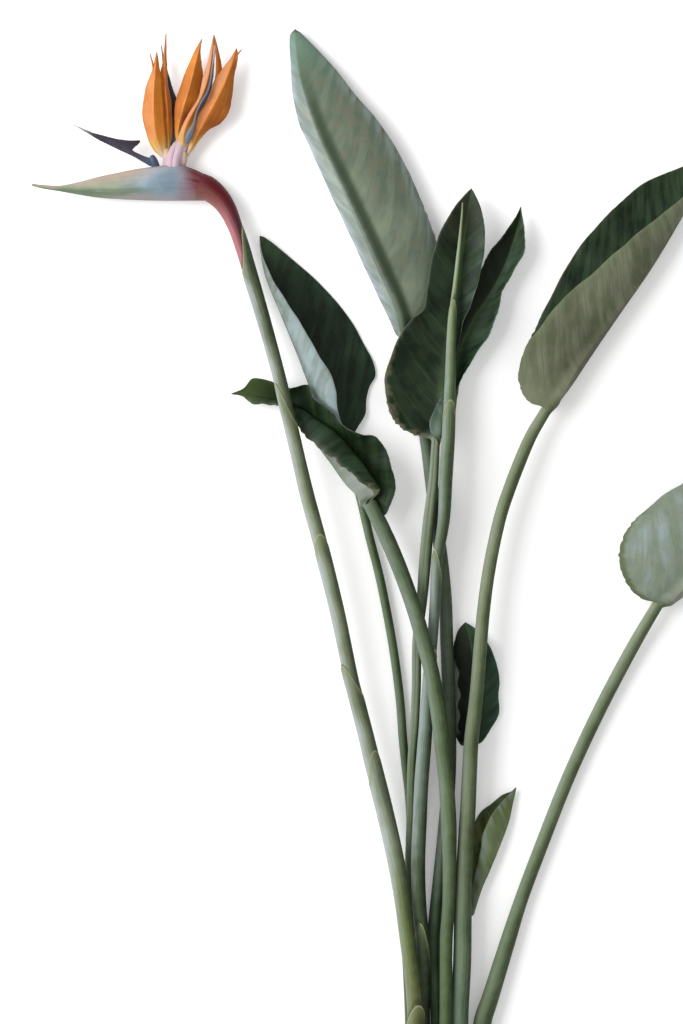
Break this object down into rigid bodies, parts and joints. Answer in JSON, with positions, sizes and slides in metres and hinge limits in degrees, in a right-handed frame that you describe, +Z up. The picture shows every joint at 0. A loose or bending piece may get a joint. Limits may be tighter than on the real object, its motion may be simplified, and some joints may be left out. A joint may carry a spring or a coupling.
{
  "type": "bird of paradise flower",
  "caption": "Cut fan of bird of paradise lying flat: an orange and blue flower on its stalk, an unopened flower stalk and long leaves joined at their bases.",
  "frame": {"origin": "centre of the bounding box on the surface that the fan lies on", "axes": "+Z up from the surface, +Y from the cut bases to the tips, +X to the right of a viewer who looks down with the tips up"},
  "size_m": [0.7235, 1.0564, 0.0464],
  "materials": {
    "flower_stalk": null,
    "bud_stalk": "waxy yellow-green stalk with a bloom; living plant tissue",
    "leaf_tall": "leathery leaf, pale glaucous underside up",
    "leaf_dark": "leathery leaf, dark green upper face up",
    "leaf_narrow": "leathery leaf, dark green, folded along its midrib",
    "leaf_right": "leathery leaf, folded, pale olive underside and dark upper face",
    "leaf_rolled": "leathery leaf, rolled, dark green upper face and pale keel",
    "leaf_folded": "leathery leaf, folded, pale blue-green underside and dark upper face",
    "leaf_far_right": "leathery leaf, pale blue-green veined underside up",
    "leaf_small_dark": "leathery young leaf, dark blue-green",
    "leaf_small_olive": "leathery young leaf, olive green",
    "spathe": "fleshy boat-shaped bract, blue-grey bloom with green and pink edges",
    "throat": "pale pink-white flower bases",
    "sepals": "satin orange sepals",
    "petals": "satin navy to grey-blue petals"
  },
  "bodies": {
    "root": {"flower_stalk": "flower_stalk", "bud_stalk": "bud_stalk", "leaf_tall": "leaf_tall", "leaf_dark": "leaf_dark", "leaf_narrow": "leaf_narrow", "leaf_right": "leaf_right", "leaf_rolled": "leaf_rolled", "leaf_folded": "leaf_folded", "leaf_far_right": "leaf_far_right", "leaf_small_dark": "leaf_small_dark", "leaf_small_olive": "leaf_small_olive", "spathe": "spathe", "throat": "throat", "sepals_left_flower": "sepals", "sepals_right_flower": "sepals", "tongue_left_flower": "petals", "tongue_right_flower": "petals", "loose_petal": "petals"}
  },
  "joints": []
}
